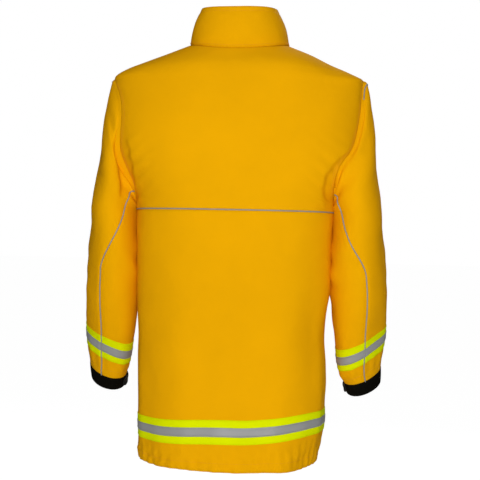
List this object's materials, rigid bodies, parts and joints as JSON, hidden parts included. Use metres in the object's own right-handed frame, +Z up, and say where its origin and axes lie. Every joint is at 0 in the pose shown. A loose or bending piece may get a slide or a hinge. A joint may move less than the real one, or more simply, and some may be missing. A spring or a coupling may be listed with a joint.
{
  "type": "turnout coat",
  "caption": "Collared protective work coat in golden cotton with a zipped front under a storm flap, bellows pockets, reflective tape and jointed sleeves",
  "frame": {"origin": "middle of the neckline, level with the back collar seam, where the coat rests on the shoulders", "axes": "+Z up, the coat faces -Y, +X to the wearer's left"},
  "size_m": [0.6544, 0.3012, 0.9703],
  "materials": {
    "shell_cloth": "plain-weave flame-retardant cotton, matte",
    "black_lining": "plain black cotton lining",
    "lime_tape": "fluorescent lime woven tape",
    "silver_tape": "silver glass-bead retro-reflective tape",
    "black_knit": "black reinforced cuff binding",
    "black_webbing": "black woven webbing",
    "hook_and_loop": "black hook and loop tape",
    "zipper_tape": "black woven zipper tape",
    "zipper_metal": "brass teeth, slider and pull"
  },
  "bodies": {
    "coat": {"lower_back": "shell_cloth", "back_yoke": "shell_cloth", "yoke_lining": "black_lining", "left_front": "shell_cloth", "right_front": "shell_cloth", "left_chest_panel": "shell_cloth", "right_chest_panel": "shell_cloth", "left_front_facing": "black_lining", "right_front_facing": "black_lining", "collar_shell": "shell_cloth", "collar_lining": "black_lining", "hang_loop": "black_webbing", "hem_trim": "lime_tape", "hem_trim_reflective": "silver_tape", "back_yoke_piping": "silver_tape", "front_yoke_piping": "silver_tape", "left_sleeve_cap": "shell_cloth", "right_sleeve_cap": "shell_cloth", "left_zipper_tape": "zipper_tape", "right_zipper_tape": "zipper_tape", "left_zipper_chain": "zipper_metal", "right_zipper_chain": "zipper_metal", "zipper_bottom_stop": "zipper_metal", "storm_flap_loop": "hook_and_loop", "collar_tab_loop": "hook_and_loop", "left_hip_pocket": "shell_cloth", "right_hip_pocket": "shell_cloth", "radio_pocket": "shell_cloth", "pocket_loop_patches": "hook_and_loop", "microphone_keeper": "black_webbing"},
    "left_upper_arm": {"left_upper_sleeve": "shell_cloth", "left_upper_sleeve_piping": "silver_tape", "left_elbow": "shell_cloth"},
    "left_lower_arm": {"left_forearm_sleeve": "shell_cloth", "left_forearm_piping": "silver_tape", "left_sleeve_trim": "lime_tape", "left_sleeve_trim_reflective": "silver_tape", "left_cuff": "black_knit", "left_cuff_loop": "hook_and_loop"},
    "left_wrist_strap": {"left_wrist_tab": "black_webbing", "left_wrist_tab_hook": "hook_and_loop"},
    "left_pocket_flap": {"left_hip_pocket_flap": "shell_cloth"},
    "right_upper_arm": {"right_upper_sleeve": "shell_cloth", "right_upper_sleeve_piping": "silver_tape", "right_elbow": "shell_cloth"},
    "right_lower_arm": {"right_forearm_sleeve": "shell_cloth", "right_forearm_piping": "silver_tape", "right_sleeve_trim": "lime_tape", "right_sleeve_trim_reflective": "silver_tape", "right_cuff": "black_knit", "right_cuff_loop": "hook_and_loop"},
    "right_wrist_strap": {"right_wrist_tab": "black_webbing", "right_wrist_tab_hook": "hook_and_loop"},
    "right_pocket_flap": {"right_hip_pocket_flap": "shell_cloth"},
    "radio_flap": {"radio_pocket_flap": "shell_cloth"},
    "fly": {"storm_flap": "shell_cloth", "storm_flap_hook": "hook_and_loop"},
    "slider": {"zipper_slider": "zipper_metal"},
    "pull": {"zipper_pull": "zipper_metal"},
    "throat_tab": {"collar_tab": "shell_cloth"}
  },
  "joints": [
    {"name": "left_shoulder", "type": "hinge", "parent": "coat", "child": "left_upper_arm", "pos_m": [0.255, 0, -0.085], "axis": [0, -1, 0], "range_deg": [0, 25], "deforming": ["left_sleeve_cap"]},
    {"name": "left_elbow_bend", "type": "hinge", "parent": "left_upper_arm", "child": "left_lower_arm", "pos_m": [0.267, -0.006, -0.47], "axis": [-1, 0, 0], "range_deg": [0, 65], "deforming": ["left_elbow"]},
    {"name": "left_wrist_tab_lift", "type": "hinge", "parent": "left_lower_arm", "child": "left_wrist_strap", "pos_m": [0.24073, -0.11746, -0.70068], "axis": [-0.1248, 0.3672, 0.9217], "range_deg": [0, 75]},
    {"name": "left_pocket_flap_lift", "type": "hinge", "parent": "coat", "child": "left_pocket_flap", "pos_m": [0.12412, -0.14446, -0.52411], "axis": [-0.9613, -0.2751, -0.0155], "range_deg": [0, 120]},
    {"name": "right_shoulder", "type": "hinge", "parent": "coat", "child": "right_upper_arm", "pos_m": [-0.255, 0, -0.085], "axis": [0, 1, 0], "range_deg": [0, 25], "deforming": ["right_sleeve_cap"]},
    {"name": "right_elbow_bend", "type": "hinge", "parent": "right_upper_arm", "child": "right_lower_arm", "pos_m": [-0.267, -0.006, -0.47], "axis": [-1, 0, 0], "range_deg": [0, 65], "deforming": ["right_elbow"]},
    {"name": "right_wrist_tab_lift", "type": "hinge", "parent": "right_lower_arm", "child": "right_wrist_strap", "pos_m": [-0.24073, -0.11746, -0.70068], "axis": [-0.1248, -0.3672, -0.9217], "range_deg": [0, 75]},
    {"name": "right_pocket_flap_lift", "type": "hinge", "parent": "coat", "child": "right_pocket_flap", "pos_m": [-0.12412, -0.14446, -0.52411], "axis": [-0.9613, 0.2751, 0.0155], "range_deg": [0, 120]},
    {"name": "radio_flap_lift", "type": "hinge", "parent": "coat", "child": "radio_flap", "pos_m": [0.12311, -0.13855, -0.28591], "axis": [-0.9806, -0.1962, -0.0029], "range_deg": [0, 120]},
    {"name": "storm_flap_swing", "type": "hinge", "parent": "coat", "child": "fly", "pos_m": [0.038, -0.12831, -0.47362], "axis": [0, 0.0775, 0.997], "range_deg": [0, 95]},
    {"name": "collar_tab_swing", "type": "hinge", "parent": "coat", "child": "throat_tab", "pos_m": [0.05, -0.09585, -0.05888], "axis": [0, 0.0775, 0.997], "range_deg": [0, 90]},
    {"name": "zipper_travel", "type": "slide", "parent": "coat", "child": "slider", "axis": [0, -0.0775, -0.997], "range_m": [0, 0.845]},
    {"name": "zipper_pull_swing", "type": "hinge", "parent": "slider", "child": "pull", "pos_m": [0, -0.09425, -0.01638], "axis": [-1, 0, 0], "range_deg": [0, 165]}
  ]
}
